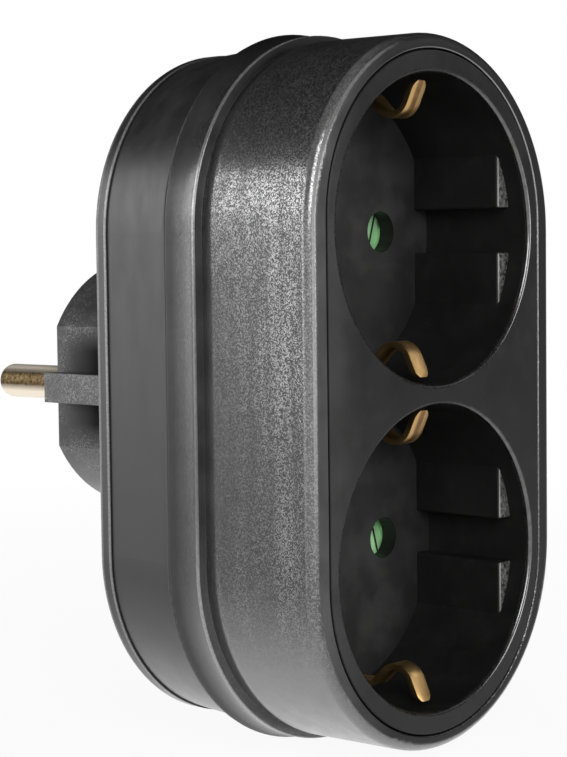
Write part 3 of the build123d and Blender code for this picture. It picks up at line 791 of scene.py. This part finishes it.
class ADAPTER_OT_socket_face(bpy.types.Operator):
    """Give the socket face and the inner plate their plastics, and line the wells' mouths"""

    bl_idname = "adapter.socket_face"
    bl_label = "Socket face"

    def execute(self, context):
        settings = context.scene.adapter_finishes
        dress(["socket_insert"], fine_plastic(settings))
        polished = polished_plastic(settings)
        mouth_ring("upper_mouth_ring", settings.well_apart / 2.0, settings, polished)
        mouth_ring("lower_mouth_ring", -settings.well_apart / 2.0, settings, polished)
        dress(["contact_carrier"], carrier_plastic(settings))
        return {"FINISHED"}


class ADAPTER_OT_rear_half(bpy.types.Operator):
    """Give the rear half and its plug their satin plastic"""

    bl_idname = "adapter.rear_half"
    bl_label = "Rear half"

    def execute(self, context):
        dress(["rear_housing"], satin_plastic(context.scene.adapter_finishes))
        return {"FINISHED"}


class ADAPTER_OT_shutters(bpy.types.Operator):
    """Give the safety shutters their green plastic and make their springs"""

    bl_idname = "adapter.shutters"
    bl_label = "Shutters"

    def execute(self, context):
        settings = context.scene.adapter_finishes
        dress(["shutter_upper", "shutter_lower"], green_plastic(settings))
        spring = steel("spring_steel", settings.steel_colour, 0.3)
        coil_copy("shutter_spring_upper", spring)
        coil_copy("shutter_spring_lower", spring)
        return {"FINISHED"}


class ADAPTER_OT_plug_pins(bpy.types.Operator):
    """Give the plug pins their tarnished brass with painted highlights"""

    bl_idname = "adapter.plug_pins"
    bl_label = "Plug pins"

    def execute(self, context):
        dress(nodes_named("plug_pin"), pin_brass(context.scene.adapter_finishes))
        return {"FINISHED"}


class ADAPTER_OT_earth_clips(bpy.types.Operator):
    """Make the earth clips and the plug's earth strips with rounded, worn edges"""

    bl_idname = "adapter.earth_clips"
    bl_label = "Earth clips"

    def execute(self, context):
        settings = context.scene.adapter_finishes
        colour = settings.clip_colour
        tarnish = settings.clip_tarnish
        clip = brass("clip_brass", colour, tarnish, (1.0, 0.1, 0.1), settings.clip_middle)
        for node in nodes_named("earth_clip"):
            rounded_copy(node, settings.edge_round, clip)
        strip = brass("earth_strip_brass", colour, scaled(colour, 0.5), (1.0, 0.08, 1.0))
        for node in nodes_named("plug_earth"):
            rounded_copy(node, settings.edge_round, strip)
        return {"FINISHED"}


class ADAPTER_OT_inner_metal(bpy.types.Operator):
    """Give the link, bars, contacts and rivets inside their brass"""

    bl_idname = "adapter.inner_metal"
    bl_label = "Inner metal"

    def execute(self, context):
        colour = context.scene.adapter_finishes.clip_colour
        material = brass("inner_brass", colour, scaled(colour, 0.55), (1.0, 1.0, 0.08))
        names = ["earth_link", "earth_rivets", "contact_rivets"] + nodes_named("line_bar")
        names += nodes_named("contact_upper") + nodes_named("contact_lower")
        dress(names, material)
        return {"FINISHED"}


class ADAPTER_OT_screws(bpy.types.Operator):
    """Give the housing screws their plated steel"""

    bl_idname = "adapter.screws"
    bl_label = "Screws"

    def execute(self, context):
        dress(["housing_screws"], steel("screw_steel", context.scene.adapter_finishes.steel_colour, 0.36))
        return {"FINISHED"}


def add_area_light(name, place, target, width, height, power):
    """Soft rectangular lamp aimed at a point."""
    lamp = bpy.data.lights.new(name, "AREA")
    lamp.shape = "RECTANGLE"
    lamp.size = width
    lamp.size_y = height
    lamp.energy = power
    light = bpy.data.objects.new(name, lamp)
    light.location = place
    light.rotation_euler = (Vector(target) - Vector(place)).to_track_quat("-Z", "Y").to_euler()
    bpy.context.scene.collection.objects.link(light)
    return light


def floor_material(settings):
    """Pale floor that keeps the shadow near the object and looks white to the camera and in reflections."""
    f = new_finish("pale_floor")
    seen = f.node("ShaderNodeLightPath", output="Is Camera Ray")
    mirrored = f.node("ShaderNodeLightPath", output="Is Glossy Ray")
    through = f.node("ShaderNodeLightPath", output="Is Transmission Ray")
    cloud = f.noise(0.05, 2.0, 0.5)
    colour = f.mix(cloud, scaled(settings.floor_colour, 0.97), opaque(settings.floor_colour))
    matte = f.node("ShaderNodeBsdfDiffuse", None, {"Color": colour})
    white = f.node("ShaderNodeEmission", None, {"Color": WHITE, "Strength": 1.0})
    away = f.node("ShaderNodeVectorMath", {"operation": "LENGTH"}, {0: f.place()}, "Value")
    plain = f.spread(away, 0.06, 0.3, settings.floor_glow, 1.0)
    glare = (mirrored + through) * f.spread(f.along("X"), 0.05, 0.35, 1.0, settings.right_dim)
    share = (seen + glare) * plain
    shader = f.node("ShaderNodeMixShader", None, {0: share, 1: matte, 2: white})
    f.node("ShaderNodeOutputMaterial", None, {"Surface": shader})
    return f.owner


def set_world(settings):
    """Even dim room light, white behind the object and low down in reflections, dark overhead."""
    world = bpy.data.worlds.new("studio")
    bpy.context.scene.world = world
    f = Finish(world)
    seen = f.node("ShaderNodeLightPath", output="Is Camera Ray")
    mirrored = f.node("ShaderNodeLightPath", output="Is Glossy Ray")
    through = f.node("ShaderNodeLightPath", output="Is Transmission Ray")
    direction = f.node("ShaderNodeTexCoord", output="Generated")
    upward = f.node("ShaderNodeSeparateXYZ", None, {0: direction}, "Z")
    across = f.node("ShaderNodeSeparateXYZ", None, {0: direction}, "X")
    low = f.spread(upward, 0.0, 0.3, 1.0, 0.02) * f.spread(across, 0.1, 0.6, 1.0, settings.right_dim)
    shown = seen + (mirrored + through) * low
    strength = shown + (1.0 - (seen + mirrored + through)) * settings.room_light
    sky = f.node("ShaderNodeBackground", None, {"Color": WHITE, "Strength": strength})
    f.node("ShaderNodeOutputWorld", None, {"Surface": sky})


def add_camera(settings):
    """Camera at the photograph's angle."""
    yaw = settings.camera_yaw
    pitch = settings.camera_pitch
    roll = settings.camera_roll
    ahead = Vector((math.sin(yaw) * math.cos(pitch), math.cos(yaw) * math.cos(pitch), -math.sin(pitch)))
    level = Vector((math.cos(yaw), -math.sin(yaw), 0.0))
    upright = level.cross(ahead)
    right = level * math.cos(roll) + upright * math.sin(roll)
    up = upright * math.cos(roll) - level * math.sin(roll)
    turn = Matrix((right, up, -ahead)).transposed().to_4x4()
    lens = bpy.data.cameras.new("camera")
    lens.lens = settings.camera_lens
    lens.sensor_width = 36.0
    lens.clip_start = 0.01
    camera = bpy.data.objects.new("camera", lens)
    camera.matrix_world = Matrix.Translation(settings.camera_place) @ turn
    bpy.context.scene.collection.objects.link(camera)
    bpy.context.scene.camera = camera


class ADAPTER_OT_stage(bpy.types.Operator):
    """Set the floor, the lights, the room and the camera"""

    bl_idname = "adapter.stage"
    bl_label = "Studio stage"

    def execute(self, context):
        settings = context.scene.adapter_stage
        context.scene.view_settings.view_transform = "Standard"
        lowest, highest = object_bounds()
        middle = (Vector(lowest) + Vector(highest)) / 2.0
        shape = bmesh.new()
        bmesh.ops.create_grid(shape, x_segments=1, y_segments=1, size=FLOOR_SIZE)
        bmesh.ops.translate(shape, verts=shape.verts, vec=(0.0, 0.0, lowest[2] - FLOOR_GAP))
        mesh = bpy.data.meshes.new("floor")
        shape.to_mesh(mesh)
        shape.free()
        mesh.materials.append(floor_material(settings))
        floor = bpy.data.objects.new("floor", mesh)
        context.scene.collection.objects.link(floor)
        floor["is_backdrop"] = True
        width = settings.side_width
        height = settings.side_height
        high = middle + Vector((-0.455, 0.385, 0.205))
        add_area_light("high_side_light", high, middle, width, height, settings.key_power)
        low = middle + Vector((-0.48, 0.38, -0.02))
        add_area_light("low_side_light", low, middle, width, height, settings.low_power)
        front = middle + Vector((0.22, -0.62, 0.10))
        add_area_light("front_light", front, middle, SMALL_LIGHT, SMALL_LIGHT, settings.fill_power)
        right = middle + Vector((0.46, -0.33, 0.30))
        add_area_light("right_light", right, middle, SMALL_LIGHT, SMALL_LIGHT, settings.right_power)
        near = middle + Vector((-0.40, -0.48, 0.27))
        add_area_light("near_light", near, middle, *NEAR_LIGHT, settings.near_power)
        set_world(settings)
        add_camera(settings)
        return {"FINISHED"}


class ADAPTER_PT_panel(bpy.types.Panel):
    """Finishes and stage of the socket adapter"""

    bl_idname = "ADAPTER_PT_panel"
    bl_label = "Socket adapter"
    bl_space_type = "VIEW_3D"
    bl_region_type = "UI"
    bl_category = "Adapter"

    def draw(self, context):
        layout = self.layout
        for group in (context.scene.adapter_finishes, context.scene.adapter_stage):
            for name in group.__annotations__:
                layout.prop(group, name)
        for operator in OPERATORS:
            layout.operator(operator.bl_idname)


OPERATORS = (
    ADAPTER_OT_front_shell,
    ADAPTER_OT_socket_face,
    ADAPTER_OT_rear_half,
    ADAPTER_OT_shutters,
    ADAPTER_OT_plug_pins,
    ADAPTER_OT_earth_clips,
    ADAPTER_OT_inner_metal,
    ADAPTER_OT_screws,
    ADAPTER_OT_stage,
)
CLASSES = (AdapterFinishes, AdapterStage) + OPERATORS + (ADAPTER_PT_panel,)


def register():
    for cls in CLASSES:
        bpy.utils.register_class(cls)
    bpy.types.Scene.adapter_finishes = PointerProperty(type=AdapterFinishes)
    bpy.types.Scene.adapter_stage = PointerProperty(type=AdapterStage)


def unregister():
    del bpy.types.Scene.adapter_stage
    del bpy.types.Scene.adapter_finishes
    for cls in reversed(CLASSES):
        bpy.utils.unregister_class(cls)


def main():
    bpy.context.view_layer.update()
    register()
    bpy.ops.adapter.front_shell()
    bpy.ops.adapter.socket_face()
    bpy.ops.adapter.rear_half()
    bpy.ops.adapter.shutters()
    bpy.ops.adapter.plug_pins()
    bpy.ops.adapter.earth_clips()
    bpy.ops.adapter.inner_metal()
    bpy.ops.adapter.screws()
    bpy.ops.adapter.stage()


if __name__ == "__main__":
    main()
